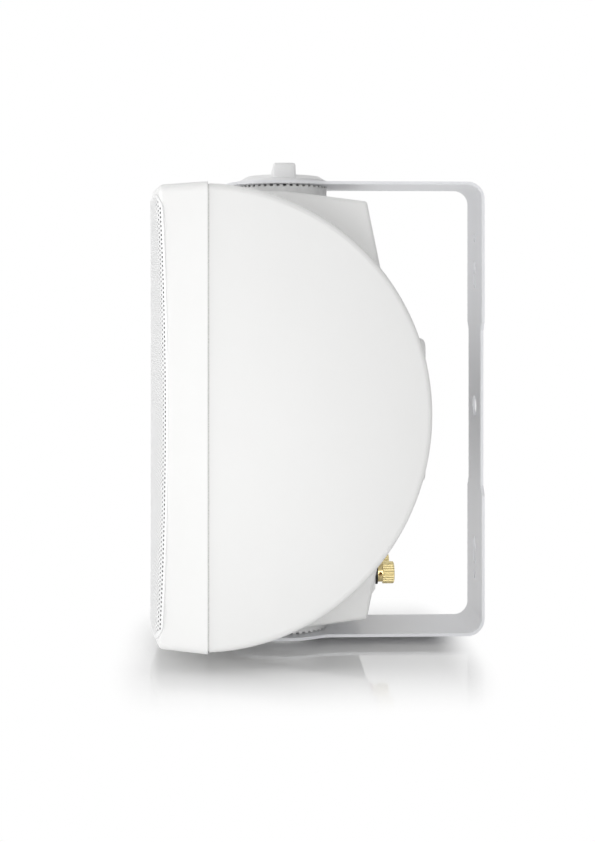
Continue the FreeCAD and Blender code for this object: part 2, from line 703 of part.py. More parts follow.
def grille():
    """Bowed sheet with a grid of openings and a folded rim that stands on the baffle."""
    front = FRONT_Y - BOW_MID
    span = GRILLE_HALF_W + SHEET_T
    reach_z = GRILLE_HALF_H + SHEET_T
    outer = bowed_solid(FRONT_Y, BAFFLE_Y, span, reach_z)
    outer = outer.common(frame_prism(GRILLE_HALF_W, GRILLE_HALF_H, GRILLE_CORNER_R, front, BAFFLE_Y))
    inner = bowed_solid(FRONT_Y + SHEET_T, BAFFLE_Y, span, reach_z)
    inner = inner.common(frame_prism(GRILLE_HALF_W - SHEET_T, GRILLE_HALF_H - SHEET_T,
                                     GRILLE_CORNER_R - SHEET_T, front, BAFFLE_Y))
    return outer.cut(inner).cut(mesh_openings())


# Screws

def screw_y(head_y, head_r, head_h, shank_r, length, x, z):
    """Pan-head screw driven rearwards, with a cross recess in its head."""
    along, drop = arc_middle(head_r, head_h * (1 - HEAD_EDGE))
    top_y = head_y - head_h
    head = turned_y(x, z, (0, head_y), (head_r, head_y), (head_r, head_y - head_h * HEAD_EDGE),
                    ((along, top_y + drop), (0, top_y)))
    slot_w = head_r * CROSS_W
    slot_l = head_r * CROSS_L
    cross = [block((x - a, top_y - head_h, z - b), (x + a, top_y + head_h * CROSS_DEPTH, z + b))
             for a, b in ((slot_l, slot_w), (slot_w, slot_l))]
    return head.cut(cross).fuse(disc_y(shank_r, head_y, head_y + length, x, z))


def cabinet_screws():
    return Part.makeCompound([screw_y(BAFFLE_Y, SCREW_HEAD_R, SCREW_HEAD_H, SCREW_R, SCREW_LEN, x, z)
                              for x, z in screw_places()])


def driver_screws(places, face_y):
    return Part.makeCompound([screw_y(face_y, DRIVER_SCREW_HEAD_R, DRIVER_SCREW_HEAD_H, DRIVER_SCREW_R,
                                      DRIVER_SCREW_LEN, x, z) for x, z in places])


def woofer_screw_places():
    return on_circle(WOOFER_SCREW_PCD_R, WOOFER_SCREW_COUNT, WOOFER_Z, WOOFER_SCREW_ANGLE)


def tweeter_screw_places():
    return on_circle(TWEETER_SCREW_PCD_R, TWEETER_SCREW_COUNT, TWEETER_Z, TWEETER_SCREW_ANGLE)


# Port

def port_tube():
    """Tube with a flared mouth whose lip lies in the port boss."""
    face = PORT_FACE_Y
    throat = face - PORT_FLARE
    end = PIVOT_Y + PORT_INNER
    flare = PORT_MOUTH_R - PORT_R
    along, out = arc_middle(PORT_FLARE, flare)
    back_along, back_out = arc_middle(PORT_FLARE - PORT_LIP_T, flare)
    outer = PORT_R + PORT_WALL
    return turned_y(
        0, 0, (PORT_R, throat), ((PORT_R + out, throat + along), (PORT_MOUTH_R, face)), (PORT_LIP_R, face),
        (PORT_LIP_R, face - PORT_LIP_T), (PORT_MOUTH_R + PORT_WALL, face - PORT_LIP_T),
        ((outer + back_out, throat + back_along), (outer, throat)), (outer, end), (PORT_R, end))


# Clamp knobs

def insert():
    low = BOSS_Z - INSERT_LEN
    high = BOSS_Z - TOOTH_DEPTH
    return disc_z(INSERT_R, low, high, 0, PIVOT_Y).cut(disc_z(STUD_R + RUN_PLAY, low, high, 0, PIVOT_Y))


def knob_stud(root):
    return disc_z(STUD_R, KNOB_Z - STUD_LEN, KNOB_Z + root, 0, PIVOT_Y)


def knob():
    """Bevelled disc with a rounded bar grip across it, the grip along x."""
    top = KNOB_Z + KNOB_DISC_T
    disc = turned_pivot((0, KNOB_Z), (KNOB_R, KNOB_Z), (KNOB_R, top - KNOB_BEVEL_H),
                        (KNOB_R - KNOB_BEVEL_W, top), (0, top))
    half = GRIP_W / 2
    crest = top + GRIP_H
    grip_face = section("yz", (-half, top - KNOB_BEVEL_H), (half, top - KNOB_BEVEL_H),
                        (half - GRIP_DRAFT, crest), (GRIP_DRAFT - half, crest))
    grip = slab(grip_face, ALONG_X, -KNOB_R, KNOB_R)
    grip = grip.common(disc_z(KNOB_R - GRIP_INSET, top - KNOB_BEVEL_H, crest + WALL))
    edges = [edge for edge in grip.Edges if edge.BoundBox.ZMax > crest - TINY]
    grip = grip.makeFillet(GRIP_EDGE_R, edges)
    grip.translate(V(0, PIVOT_Y, 0))
    return disc.fuse(grip).cut(knob_stud(STUD_ROOT))


def low_knob():
    """Flat bevelled disc with a coin slot, drawn as if on top."""
    top = KNOB_Z + LOW_KNOB_T
    disc = turned_pivot((0, KNOB_Z), (LOW_KNOB_R, KNOB_Z), (LOW_KNOB_R, top - KNOB_BEVEL_H),
                        (LOW_KNOB_R - KNOB_BEVEL_H, top), (0, top))
    slot = block((-COIN_SLOT_LEN / 2, PIVOT_Y - COIN_SLOT_W / 2, top - COIN_SLOT_DEPTH),
                 (COIN_SLOT_LEN / 2, PIVOT_Y + COIN_SLOT_W / 2, top + WALL))
    return disc.cut([slot, knob_stud(LOW_STUD_ROOT)])


# Binding posts

def post_stud(x):
    collar_y = SEAT_FACE_Y + POST_WASHER_T
    thumb_y = collar_y + POST_COLLAR_T + THUMB_GAP
    end_y = thumb_y + THUMB_LEN
    tail_y = SEAT_FACE_Y - SEAT_T - TAG_T - HEX_T - POST_TAIL
    stud = disc_y(POST_R, tail_y, end_y, x, POST_Z)
    collar = disc_y(POST_COLLAR_R, collar_y, collar_y + POST_COLLAR_T, x, POST_Z)
    hole_start = V(x - 2 * POST_COLLAR_R, collar_y + POST_COLLAR_T / 2, POST_Z)
    wire_hole = Part.makeCylinder(WIRE_HOLE_R, 4 * POST_COLLAR_R, hole_start, ALONG_X)
    socket = disc_y(BANANA_R, end_y - BANANA_DEPTH, end_y + WALL, x, POST_Z)
    return stud.fuse(collar).cut([wire_hole, socket])


def post_washer(x):
    return ring_y(POST_WASHER_R, POST_R + SNUG, SEAT_FACE_Y, SEAT_FACE_Y + POST_WASHER_T, x, POST_Z)


def post_thumb_nut(x):
    low = SEAT_FACE_Y + POST_WASHER_T + POST_COLLAR_T + THUMB_GAP
    points = []
    for index in range(2 * THUMB_FLUTES):
        turn = math.pi * index / THUMB_FLUTES
        radius = THUMB_R - (index % 2) * THUMB_FLUTE_DEPTH
        points.append(V(x + radius * math.cos(turn), low, POST_Z + radius * math.sin(turn)))
    points.append(points[0])
    body = Part.Face(Part.makePolygon(points)).extrude(ALONG_Y * THUMB_LEN)
    high = low + THUMB_LEN
    bevelled = turned_y(x, POST_Z, (0, low), (THUMB_R, low), (THUMB_R, high - THUMB_EDGE),
                        (THUMB_R - THUMB_EDGE, high), (0, high))
    return body.common(bevelled).cut(disc_y(POST_R + RUN_PLAY, low - WALL, high + WALL, x, POST_Z))


def solder_tags():
    face_y = SEAT_FACE_Y - SEAT_T
    tags = []
    for x in post_places().values():
        eye = disc_y(TAG_R, face_y - TAG_T, face_y, x, POST_Z)
        tail = block((x - TAG_TAIL_W / 2, face_y - TAG_T, POST_Z),
                     (x + TAG_TAIL_W / 2, face_y, POST_Z + TAG_TAIL_LEN))
        hole = disc_y(POST_R + SNUG, face_y - WALL, face_y + WALL, x, POST_Z)
        tags.append(eye.fuse(tail).cut(hole))
    return Part.makeCompound(tags)


def post_hex_nuts():
    face_y = SEAT_FACE_Y - SEAT_T - TAG_T
    nuts = []
    corner = HEX_AF / math.sqrt(3)
    for x in post_places().values():
        turns = [math.pi * index / 3 for index in range(7)]
        points = [V(x + corner * math.cos(t), face_y - HEX_T, POST_Z + corner * math.sin(t)) for t in turns]
        body = Part.Face(Part.makePolygon(points)).extrude(ALONG_Y * HEX_T)
        nuts.append(body.cut(disc_y(POST_R + SNUG, face_y - 2 * HEX_T, face_y + WALL, x, POST_Z)))
    return Part.makeCompound(nuts)


# Woofer

def woofer_turned(start, *steps):
    """Turned about the woofer's axis, from (radius, depth behind the baffle face)."""
    return turned_y(0, WOOFER_Z, *from_baffle(start, *steps))


def tweeter_turned(start, *steps):
    return turned_y(0, TWEETER_Z, *from_baffle(start, *steps))


def from_baffle(*steps):
    """Move depths of points and arcs from the baffle face to places along y."""
    moved = []
    for step in steps:
        if isinstance(step[0], tuple):
            moved.append(tuple((r, BAFFLE_Y + depth) for r, depth in step))
        else:
            moved.append((step[0], BAFFLE_Y + step[1]))
    return moved


FLANGE_BACK = -WOOFER_GASKET_T
FLANGE_FACE = FLANGE_BACK - FLANGE_T
LANDING_FACE = FLANGE_FACE + LANDING_DROP
PLATE_DEPTH = BASKET_DEPTH + BASKET_FLOOR_T
MAGNET_DEPTH = PLATE_DEPTH + PLATE_T
YOKE_DEPTH = MAGNET_DEPTH + MAGNET_T
WINDING_R = COIL_R + WINDING_T


def woofer_gasket():
    return woofer_turned((WOOFER_HOLE_R, FLANGE_BACK), (WOOFER_R, FLANGE_BACK), (WOOFER_R, 0),
                         (WOOFER_HOLE_R, 0)).cut(screw_holes(woofer_screw_places()))


def screw_holes(places):
    return [disc_y(DRIVER_SCREW_R + SNUG, -REACH, REACH, x, z) for x, z in places]


def woofer_basket():
    inner = LANDING_INNER_R
    wall = BASKET_WALL
    shape = woofer_turned(
        (WOOFER_R, FLANGE_FACE), (WOOFER_R, FLANGE_BACK), (inner + wall, FLANGE_BACK),
        (SPIDER_LEDGE_R + wall, SPIDER_DEPTH), (SPIDER_LEDGE_R + wall, SPIDER_DEPTH + wall),
        (THROAT_R + wall, SPIDER_DEPTH + wall), (THROAT_R + wall, PLATE_DEPTH),
        (WINDING_R + wall, PLATE_DEPTH),
        (WINDING_R + wall, BASKET_DEPTH), (THROAT_R, BASKET_DEPTH), (THROAT_R, SPIDER_DEPTH),
        (SPIDER_LEDGE_R, SPIDER_DEPTH), (inner, LANDING_FACE), (LANDING_R, LANDING_FACE),
        (LANDING_R, FLANGE_FACE))
    window = block((-WINDOW_W / 2, BAFFLE_Y + WINDOW_TOP, WOOFER_Z + THROAT_R),
                   (WINDOW_W / 2, BAFFLE_Y + WINDOW_TOP + WINDOW_LEN, WOOFER_Z + WOOFER_R))
    windows = around(window, WINDOW_COUNT, V(0, 0, WOOFER_Z), ALONG_Y)
    return shape.cut([windows] + screw_holes(woofer_screw_places()))


def woofer_top_plate():
    return woofer_turned((WINDING_R + GAP_PLAY, PLATE_DEPTH), (PLATE_R, PLATE_DEPTH), (PLATE_R, MAGNET_DEPTH),
                         (WINDING_R + GAP_PLAY, MAGNET_DEPTH))


def woofer_magnet():
    return woofer_turned((MAGNET_BORE_R, MAGNET_DEPTH), (MAGNET_R, MAGNET_DEPTH), (MAGNET_R, YOKE_DEPTH),
                         (MAGNET_BORE_R, YOKE_DEPTH))


def woofer_yoke():
    return woofer_turned((0, PLATE_DEPTH), (POLE_R, PLATE_DEPTH), (POLE_R, YOKE_DEPTH), (PLATE_R, YOKE_DEPTH),
                         (PLATE_R, YOKE_DEPTH + PLATE_T), (0, YOKE_DEPTH + PLATE_T))


def woofer_spider():
    """Flat disc with pleats from the former to the basket's ledge."""
    face = SPIDER_DEPTH - SPIDER_T
    inner = COIL_R + SNUG
    outer = SPIDER_LEDGE_R - SEAT_PLAY
    start = inner + SPIDER_LIP
    end = THROAT_R - SEAT_PLAY
    pleat = (end - start) / (2 * SPIDER_WAVES)
    ridges = []
    for index in range(2 * SPIDER_WAVES):
        side = SPIDER_WAVE_H if index % 2 == 0 else -SPIDER_WAVE_H
        ridges.append((start + (index + 0.5) * pleat, side))
    front = [(radius, face + side) for radius, side in ridges]
    back = [(radius, SPIDER_DEPTH + side) for radius, side in reversed(ridges)]
    return woofer_turned((inner, face), (start, face), *front, (end, face), (outer, face),
                         (outer, SPIDER_DEPTH), (end, SPIDER_DEPTH), *back, (start, SPIDER_DEPTH),
                         (inner, SPIDER_DEPTH))


def woofer_voice_coil():
    top = NECK_DEPTH - NECK_LEN
    tail = MAGNET_DEPTH + FORMER_TAIL
    wind = PLATE_DEPTH + PLATE_T / 2 - WINDING_LEN / 2
    return woofer_turned((COIL_R - FORMER_T, top), (COIL_R, top), (COIL_R, wind), (WINDING_R, wind),
                         (WINDING_R, wind + WINDING_LEN), (COIL_R, wind + WINDING_LEN), (COIL_R, tail),
                         (COIL_R - FORMER_T, tail))


def woofer_cone():
    neck = COIL_R + SNUG
    lip_face = LANDING_FACE
    lip_r = CONE_R - CONE_LIP
    return woofer_turned((neck, NECK_DEPTH - NECK_LEN), (lip_r, lip_face), (CONE_R, lip_face),
                         (CONE_R, lip_face + CONE_T), (lip_r + CONE_T / 2, lip_face + CONE_T),
                         (neck + CONE_T, NECK_DEPTH - NECK_LEN + CONE_T), (neck + CONE_T, NECK_DEPTH),
                         (neck, NECK_DEPTH))


def woofer_surround():
    """Half roll of rubber from the cone's lip to the landing of the basket."""
    back = LANDING_FACE
    front = back - SURROUND_T
    inner = CONE_R - CONE_LIP + SNUG
    outer = LANDING_R - SEAT_PLAY
    roll_in = CONE_R - SEAT_PLAY
    roll_out = outer - SURROUND_LIP
    centre = (roll_in + roll_out) / 2
    rise = (roll_out - roll_in) / 2
    return woofer_turned(
        (inner, front), (roll_in, front), ((centre, front - rise), (roll_out, front)), (outer, front),
        (outer, back), (roll_out - SURROUND_T, back),
        ((centre, front - rise + SURROUND_T), (roll_in + SURROUND_T, back)), (inner, back))


def cone_face_depth(radius):
    """Depth of the cone's front face at a radius."""
    slope = (NECK_DEPTH - NECK_LEN - LANDING_FACE) / (CONE_R - CONE_LIP - COIL_R - SNUG)
    return LANDING_FACE + (CONE_R - CONE_LIP - radius) * slope


def woofer_dust_cap():
    """Shallow dome whose rim sits on the cone's front face."""
    base = cone_face_depth(CAP_R)
    crown = base - CAP_RISE
    inner_r = CAP_R - CAP_T
    inner_base = cone_face_depth(inner_r)
    inner_crown = crown + CAP_T
    along, drop = arc_middle(CAP_R, CAP_RISE)
    inner_along, inner_drop = arc_middle(inner_r, inner_base - inner_crown)
    return woofer_turned((0, crown), ((along, crown + drop), (CAP_R, base)), (inner_r, inner_base),
                         ((inner_along, inner_crown + inner_drop), (0, inner_crown)))


# Tweeter

TWEETER_LIP = -TWEETER_SURROUND_T
TWEETER_COIL_R = DOME_R
TWEETER_TOP_DEPTH = 0.0


def tweeter_faceplate():
    """Bevelled plate with a shallow horn that ends over the surround."""
    face = -TWEETER_PLATE_T
    seat = TWEETER_SURROUND_R + SNUG
    mouth = seat - TWEETER_LAP
    along, sink = arc_middle(HORN_R - mouth, TWEETER_PLATE_T - TWEETER_SURROUND_T)
    return tweeter_turned(
        (TWEETER_R, 0), (TWEETER_R, face + TWEETER_EDGE), (TWEETER_R - TWEETER_EDGE, face), (HORN_R, face),
        ((HORN_R - along, face + sink), (mouth, TWEETER_LIP)),
        (seat, TWEETER_LIP), (seat, 0)).cut(screw_holes(tweeter_screw_places()))


def tweeter_dome():
    crown = TWEETER_LIP - DOME_RISE
    inner_r = DOME_R - DOME_T
    along, drop = arc_middle(DOME_R, DOME_RISE)
    inner_along, inner_drop = arc_middle(inner_r, DOME_RISE)
    return tweeter_turned((0, crown), ((along, crown + drop), (DOME_R, TWEETER_LIP)),
                          (DOME_R, TWEETER_LIP + DOME_T), (inner_r, TWEETER_LIP + DOME_T),
                          ((inner_along, crown + DOME_T + inner_drop), (0, crown + DOME_T)))


def tweeter_surround():
    return tweeter_turned((DOME_R + SNUG, TWEETER_LIP), (TWEETER_SURROUND_R, TWEETER_LIP),
                          (TWEETER_SURROUND_R, 0), (DOME_R + SNUG, 0))


def tweeter_voice_coil():
    start = TWEETER_LIP + DOME_T
    return tweeter_turned((TWEETER_COIL_R - TWEETER_COIL_T, start), (TWEETER_COIL_R, start),
                          (TWEETER_COIL_R, start + TWEETER_COIL_LEN),
                          (TWEETER_COIL_R - TWEETER_COIL_T, start + TWEETER_COIL_LEN))


def tweeter_top_plate():
    bore = TWEETER_COIL_R + TWEETER_GAP
    return tweeter_turned((bore, TWEETER_TOP_DEPTH), (TWEETER_TOP_R, TWEETER_TOP_DEPTH),
                          (TWEETER_TOP_R, TWEETER_TOP_T), (bore, TWEETER_TOP_T))


def tweeter_magnet():
    back = TWEETER_TOP_T + TWEETER_MAGNET_T
    return tweeter_turned((TWEETER_MAGNET_BORE_R, TWEETER_TOP_T), (TWEETER_MAGNET_R, TWEETER_TOP_T),
                          (TWEETER_MAGNET_R, back), (TWEETER_MAGNET_BORE_R, back))


def tweeter_yoke():
    front = TWEETER_TOP_T + TWEETER_MAGNET_T
    pole = TWEETER_COIL_R - TWEETER_COIL_T - TWEETER_GAP
    tip = TWEETER_TOP_DEPTH + DOME_T
    return tweeter_turned((0, tip), (pole, tip), (pole, front), (TWEETER_TOP_R, front),
                          (TWEETER_TOP_R, front + TWEETER_BACK_T), (0, front + TWEETER_BACK_T))


# Crossover

def crossover_board():
    board = block((-BOARD_HALF_W, BOARD_FRONT_Y, BOARD_LOW_Z), (BOARD_HALF_W, BOARD_BACK_Y, BOARD_HIGH_Z))
    return board.cut([disc_y(DRIVER_SCREW_R + SNUG, -REACH, REACH, x, z) for x, z in board_places()])


def board_middle():
    return (BOARD_LOW_Z + BOARD_HIGH_Z) / 2


def crossover_inductor():
    return ring_y(COIL_OUTER_R, COIL_INNER_R, BOARD_FRONT_Y - COIL_H, BOARD_FRONT_Y, 0, board_middle())


def crossover_capacitor():
    x = -BOARD_HALF_W / 2 - CAPACITOR_R / 2
    low = V(x, BOARD_FRONT_Y - CAPACITOR_R, board_middle() - CAPACITOR_LEN / 2)
    return Part.makeCylinder(CAPACITOR_R, CAPACITOR_LEN, low, ALONG_Z)


def crossover_resistor():
    x = BOARD_HALF_W / 2 + RESISTOR_SIDE / 2
    low = (x - RESISTOR_SIDE / 2, BOARD_FRONT_Y - RESISTOR_SIDE, board_middle() - RESISTOR_W / 2)
    high = (x + RESISTOR_SIDE / 2, BOARD_FRONT_Y, board_middle() + RESISTOR_W / 2)
    return block(low, high)


def build():
    pieces = {
        "bracket": bracket(),
        "rear_cabinet": rear_cabinet(),
        "front_baffle": front_baffle(),
        "seam_gasket": seam_gasket(),
        "grille": grille(),
        "cabinet_screws": cabinet_screws(),
        "port_tube": port_tube(),
        "upper_insert": insert(),
        "lower_insert": upside_down(insert()),
        "upper_knob": knob(),
        "upper_knob_stud": knob_stud(STUD_ROOT),
        "lower_knob": upside_down(low_knob()),
        "lower_knob_stud": upside_down(knob_stud(LOW_STUD_ROOT)),
        "solder_tags": solder_tags(),
        "post_hex_nuts": post_hex_nuts(),
        "woofer_gasket": woofer_gasket(),
        "woofer_basket": woofer_basket(),
        "woofer_top_plate": woofer_top_plate(),
        "woofer_magnet": woofer_magnet(),
        "woofer_yoke": woofer_yoke(),
        "woofer_spider": woofer_spider(),
        "woofer_voice_coil": woofer_voice_coil(),
        "woofer_cone": woofer_cone(),
        "woofer_surround": woofer_surround(),
        "woofer_dust_cap": woofer_dust_cap(),
        "woofer_screws": driver_screws(woofer_screw_places(), BAFFLE_Y + FLANGE_FACE),
        "tweeter_faceplate": tweeter_faceplate(),
        "tweeter_dome": tweeter_dome(),
        "tweeter_surround": tweeter_surround(),
        "tweeter_voice_coil": tweeter_voice_coil(),
        "tweeter_top_plate": tweeter_top_plate(),
        "tweeter_magnet": tweeter_magnet(),
        "tweeter_yoke": tweeter_yoke(),
        "tweeter_screws": driver_screws(tweeter_screw_places(), BAFFLE_Y - TWEETER_PLATE_T),
        "crossover_board": crossover_board(),
        "crossover_inductor": crossover_inductor(),
        "crossover_capacitor": crossover_capacitor(),
        "crossover_resistor": crossover_resistor(),
        "crossover_screws": driver_screws(board_places(), BOARD_FRONT_Y),
    }
    for side, x in post_places().items():
        pieces[side + "_post_stud"] = post_stud(x)
        pieces[side + "_post_washer"] = post_washer(x)
        pieces[side + "_post_nut"] = post_thumb_nut(x)
    return pieces


os.makedirs("parts", exist_ok=True)
for node, shape in build().items():
    shape.exportStep("parts/" + node + ".step")
    box = shape.BoundBox
    print("%-22s solids %d valid %s volume %10.1f  y %7.1f %7.1f  z %7.1f %7.1f" % (
        node, len(shape.Solids), shape.isValid(), shape.Volume, box.YMin, box.YMax, box.ZMin, box.ZMax))
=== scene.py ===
import json
import math

import bmesh
import bpy
import numpy as np
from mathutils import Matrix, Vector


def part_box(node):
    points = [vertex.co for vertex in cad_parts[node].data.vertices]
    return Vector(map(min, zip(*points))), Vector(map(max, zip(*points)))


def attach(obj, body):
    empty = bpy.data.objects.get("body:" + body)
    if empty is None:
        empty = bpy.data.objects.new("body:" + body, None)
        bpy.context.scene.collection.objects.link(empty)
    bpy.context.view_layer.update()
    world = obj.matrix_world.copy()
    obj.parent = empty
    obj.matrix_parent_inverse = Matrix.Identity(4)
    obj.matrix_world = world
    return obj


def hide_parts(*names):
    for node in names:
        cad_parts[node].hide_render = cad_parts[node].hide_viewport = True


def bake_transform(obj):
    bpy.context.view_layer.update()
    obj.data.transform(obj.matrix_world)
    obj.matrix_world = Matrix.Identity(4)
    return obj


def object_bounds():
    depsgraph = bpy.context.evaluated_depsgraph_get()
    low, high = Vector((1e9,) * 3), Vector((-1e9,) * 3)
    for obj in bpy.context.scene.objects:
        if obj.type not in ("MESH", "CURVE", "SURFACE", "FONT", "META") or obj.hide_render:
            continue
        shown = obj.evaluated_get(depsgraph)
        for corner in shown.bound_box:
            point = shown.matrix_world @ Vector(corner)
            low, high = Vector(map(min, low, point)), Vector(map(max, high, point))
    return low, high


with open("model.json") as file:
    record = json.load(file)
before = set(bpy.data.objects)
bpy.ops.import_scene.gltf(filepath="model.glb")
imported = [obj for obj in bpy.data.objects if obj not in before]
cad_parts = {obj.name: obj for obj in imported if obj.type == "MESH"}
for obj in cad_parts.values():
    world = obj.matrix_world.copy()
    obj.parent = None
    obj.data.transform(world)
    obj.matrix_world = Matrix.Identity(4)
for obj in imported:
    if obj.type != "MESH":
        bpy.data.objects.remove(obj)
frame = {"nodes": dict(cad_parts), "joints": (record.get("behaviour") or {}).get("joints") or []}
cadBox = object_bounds()
nodes = frame["nodes"]
scene = bpy.context.scene
scene.view_settings.view_transform = "Standard"
sharpAngle = math.radians(40)  # creases past this stay sharp on the pieces made here
print("frame: %d nodes" % len(nodes))


# Shader maths

def paint(red, green, blue):  # 0 to 255 as seen on a screen, to the shader's linear colour
    shown = np.array([red, green, blue]) / 255.0
    linear = np.where(shown <= 0.04045, shown / 12.92, ((shown + 0.055) / 1.055) ** 2.4)
    return (*linear.tolist(), 1.0)


class Sock:  # wraps a shader socket, so that sums and products of values add their Math nodes
    def __init__(self, tree, out):
        self.tree = tree
        self.out = out

    def node(self, kind, settings=None, inputs=None, out=0):  # settings first, then sockets
        made = self.tree.nodes.new("ShaderNode" + kind)
        for name, value in (settings or {}).items():
            if name == "stops":
                setStops(made.color_ramp, value)
            else:
                setattr(made, name, value)
        for name, value in (inputs or {}).items():
            join(self.tree, value, made.inputs[name])
        return Sock(self.tree, made.outputs[out])

    def maths(self, operation, first, second=0.0):
        return self.node("Math", {"operation": operation}, {0: first, 1: second})

    def vector(self, operation, first, second=(0.0, 0.0, 0.0)):
        return self.node("VectorMath", {"operation": operation}, {0: first, 1: second})

    def __add__(self, other):
        return self.maths("ADD", self, other)

    def __radd__(self, other):
        return self.maths("ADD", other, self)

    def __sub__(self, other):
        return self.maths("SUBTRACT", self, other)

    def __rsub__(self, other):
        return self.maths("SUBTRACT", other, self)

    def __mul__(self, other):
        return self.maths("MULTIPLY", self, other)

    def __rmul__(self, other):
        return self.maths("MULTIPLY", other, self)

    def noise(self, scale, detail=2.0):
        return self.node("TexNoise", {}, {"Vector": self, "Scale": scale, "Detail": detail})

    def bands(self, direction, period, wobble=0.0):  # sine bands, period in metres
        return self.node("TexWave", {"bands_direction": direction},
                         {"Vector": self, "Scale": math.pi / (10.0 * period), "Distortion": wobble})

    def bump(self, strength, distance):
        return self.node("Bump", {}, {"Height": self, "Strength": strength, "Distance": distance})

    def blend(self, low, high):  # colour from low to high as this value goes from 0 to 1
        return self.node("Mix", {"data_type": "RGBA"}, {0: self, 6: low, 7: high}, 2)

    def ramp(self, *stops):
        return self.node("ValToRGB", {"stops": stops}, {"Fac": self})


def join(tree, value, socket):  # a link where the value is a socket, else the socket's own value
    if isinstance(value, Sock):
        tree.links.new(value.out, socket)
    else:
        socket.default_value = value


def setStops(ramp, stops):  # stops are (place, grey)
    while len(ramp.elements) < len(stops):
        ramp.elements.new(1.0)
    for element, (place, grey) in zip(ramp.elements, stops):
        element.position = place
        element.color = (grey, grey, grey, 1.0)


def newMaterial(name, fixed):  # Principled shader, its fixed sockets and the object's coordinates
    material = bpy.data.materials.new(name)
    material.use_nodes = True
    tree = material.node_tree
    shader = tree.nodes["Principled BSDF"]
    for socket, value in fixed.items():
        shader.inputs[socket].default_value = value
    place = Sock(tree, tree.nodes.new("ShaderNodeTexCoord").outputs["Object"])
    return material, shader, place


def feed(material, shader, sockets):
    for name, value in sockets.items():
        join(material.node_tree, value, shader.inputs[name])
    return material


# Finishes

def shade(colour, share):  # the same colour, darker
    return (colour[0] * share, colour[1] * share, colour[2] * share, 1.0)


def mouldedPlastic(name, colour, look):  # fine spark-eroded grain with slow changes of tone
    material, shader, place = newMaterial(name, {"IOR": look["ior"]})
    grain = place.noise(look["grain"], detail=3.0)
    slow = place.noise(look["slow"], detail=2.0)
    return feed(material, shader, {
        "Base Color": slow.blend(shade(colour, look["dark"]), colour),
        "Roughness": look["rough"] + look["roughSpread"] * grain,
        "Normal": grain.bump(look["bump"], look["depth"])})


def powderCoat(name, colour, look):  # low orange peel under a fine grain
    material, shader, place = newMaterial(name, {"IOR": look["ior"]})
    peel = place.noise(look["peel"], detail=1.0)
    grain = place.noise(look["grain"], detail=2.0)
    height = peel + look["grainShare"] * grain
    return feed(material, shader, {
        "Base Color": peel.blend(shade(colour, look["dark"]), colour),
        "Roughness": look["rough"] + look["roughSpread"] * grain,
        "Normal": height.bump(look["bump"], look["depth"])})


def platedMetal(name, colour, look):  # turned metal: fine rings along an axis, with a little cloudy tarnish
    material, shader, place = newMaterial(name, {"Metallic": 1.0})
    rings = place.bands(look["axis"], look["period"], look["wobble"])
    cloud = place.noise(look["cloud"], detail=3.0)
    return feed(material, shader, {
        "Base Color": cloud.blend(shade(colour, look["dark"]), colour),
        "Roughness": look["rough"] + look["roughSpread"] * cloud,
        "Normal": rings.bump(look["bump"], look["depth"])})


def knurledMetal(name, colour, look):
    # Plated nut with a diamond knurl: sin(2 pi (a + b)) sin(2 pi (a - b)), where a counts the pattern's
    # repeats round the nut's axis and b those along it. Both nuts share it: x is taken without its sign.
    low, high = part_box(look["nut"])
    middle = (low + high) / 2
    material, shader, place = newMaterial(name, {"Metallic": 1.0})
    unsigned = place.vector("ABSOLUTE", place)
    local = place.vector("SUBTRACT", unsigned, (abs(middle.x), 0.0, abs(middle.z)))
    split = {axis: place.node("SeparateXYZ", {}, {0: local}, axis) for axis in "XYZ"}
    around = place.maths("ARCTAN2", split["Z"], split["X"]) * look["count"]
    along = split["Y"] * (2 * math.pi / look["pitch"])
    diamonds = place.maths("SINE", around + along) * place.maths("SINE", around - along)
    cloud = place.noise(look["cloud"], detail=3.0)
    return feed(material, shader, {
        "Base Color": cloud.blend(shade(colour, look["dark"]), colour),
        "Roughness": look["rough"] + look["roughSpread"] * cloud,
        "Normal": diamonds.bump(look["bump"], look["depth"])})


def wovenCloth(name, colour, look):  # plain weave: two sets of bands that cross
    material, shader, place = newMaterial(name, {"Roughness": look["rough"], "Sheen Weight": look["sheen"]})
    weave = place.bands("X", look["period"]) * place.bands("Z", look["period"])
    fuzz = place.noise(look["fuzz"], detail=3.0)
    return feed(material, shader, {
        "Base Color": (weave * fuzz).blend(shade(colour, look["dark"]), colour),
        "Normal": weave.bump(look["bump"], look["depth"])})


def speckled(name, colour, look):  # ground or cast body with small pits
    material, shader, place = newMaterial(name, {"IOR": look["ior"]})
    pits = place.noise(look["pits"], detail=4.0)
    spots = pits.ramp((look["from"], 0.0), (look["to"], 1.0))
    return feed(material, shader, {
        "Base Color": spots.blend(shade(colour, look["dark"]), colour),
        "Roughness": look["rough"] + look["roughSpread"] * pits,
        "Normal": pits.bump(look["bump"], look["depth"])})


def circuitBoard(name, colour, look):  # lacquered laminate with broad tracks under the lacquer
    material, shader, place = newMaterial(name, {"Coat Weight": look["coat"]})
    grid = place.bands("X", look["pitch"]) + place.bands("Z", look["pitch"])
    tracks = grid.ramp((look["trackFrom"], 0.0), (look["trackTo"], 1.0))
    grain = place.noise(look["grain"], detail=2.0)
    return feed(material, shader, {
        "Base Color": tracks.blend(colour, look["track"]),
        "Roughness": look["rough"] + look["roughSpread"] * grain,
        "Normal": tracks.bump(look["bump"], look["depth"])})


